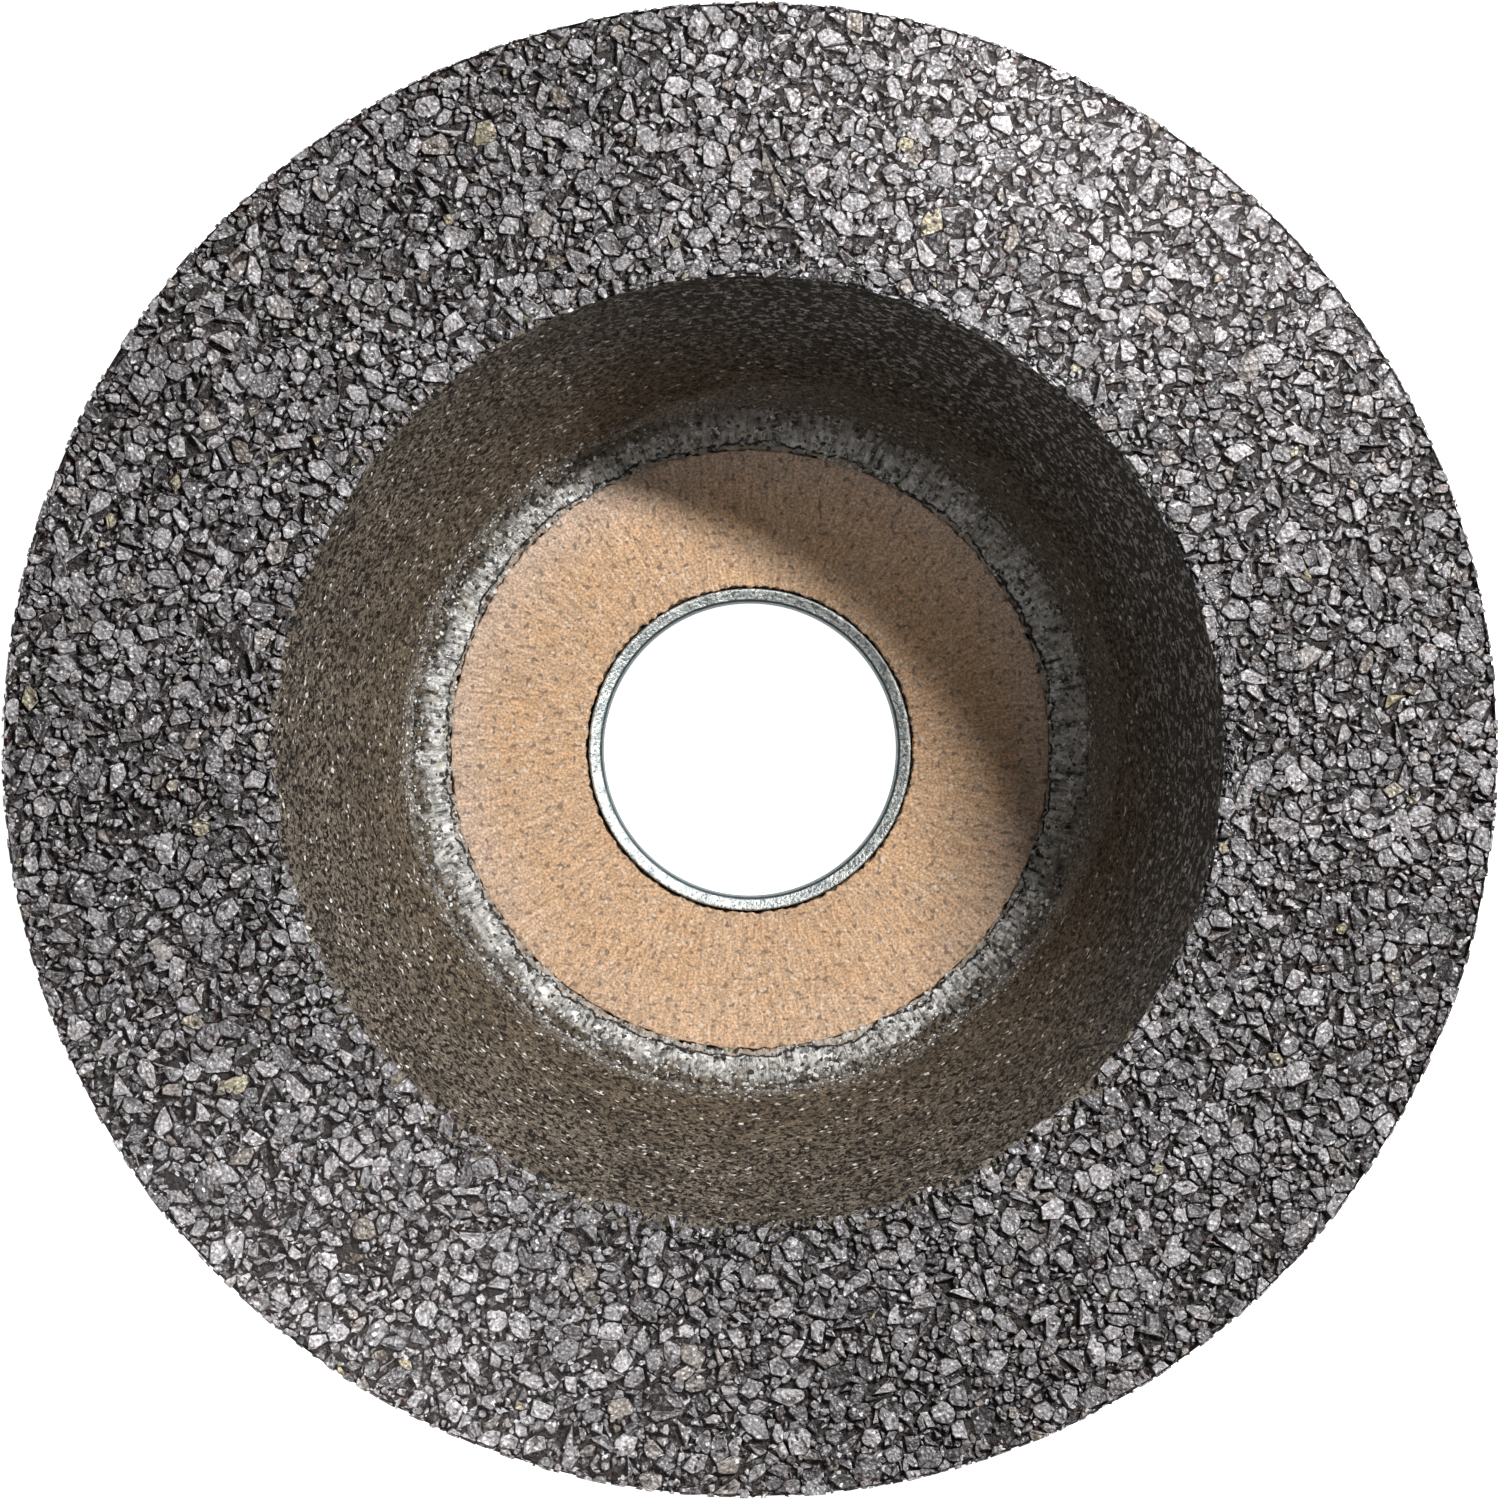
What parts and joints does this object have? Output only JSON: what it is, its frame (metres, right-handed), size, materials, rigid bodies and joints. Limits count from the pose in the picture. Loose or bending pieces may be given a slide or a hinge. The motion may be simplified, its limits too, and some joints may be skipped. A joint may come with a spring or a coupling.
{
  "type": "flaring cup grinding wheel",
  "caption": "Flaring cup grinding wheel for an angle grinder: coarse bonded abrasive cup on a reinforced base with a steel back, a plain steel arbor bush and a card blotter.",
  "frame": {"origin": "centre of the back face, on the spindle axis, where the wheel rests when it lies mouth up", "axes": "+Z along the spindle axis, from the back face to the grinding face; X and Y across the wheel, which is round"},
  "size_m": [0.11, 0.11, 0.055],
  "materials": {
    "coarse_abrasive": "satin",
    "base_mix": "matte",
    "glass_cloth": "matte",
    "zinc_steel": "satin",
    "back_steel": "satin",
    "tan_card": "matte",
    "grey_fillet": "matte",
    "label_paper": "matte"
  },
  "bodies": {
    "root": {"steel_back_cap": "back_steel", "arbor_bush": "zinc_steel", "back_label": "label_paper", "glass_cloth_back": "glass_cloth", "base_layer_back": "base_mix", "glass_cloth_middle": "glass_cloth", "base_layer_front": "base_mix", "glass_cloth_front": "glass_cloth", "abrasive_cup": "coarse_abrasive", "floor_blotter": "tan_card", "floor_collar": "grey_fillet"}
  },
  "joints": []
}
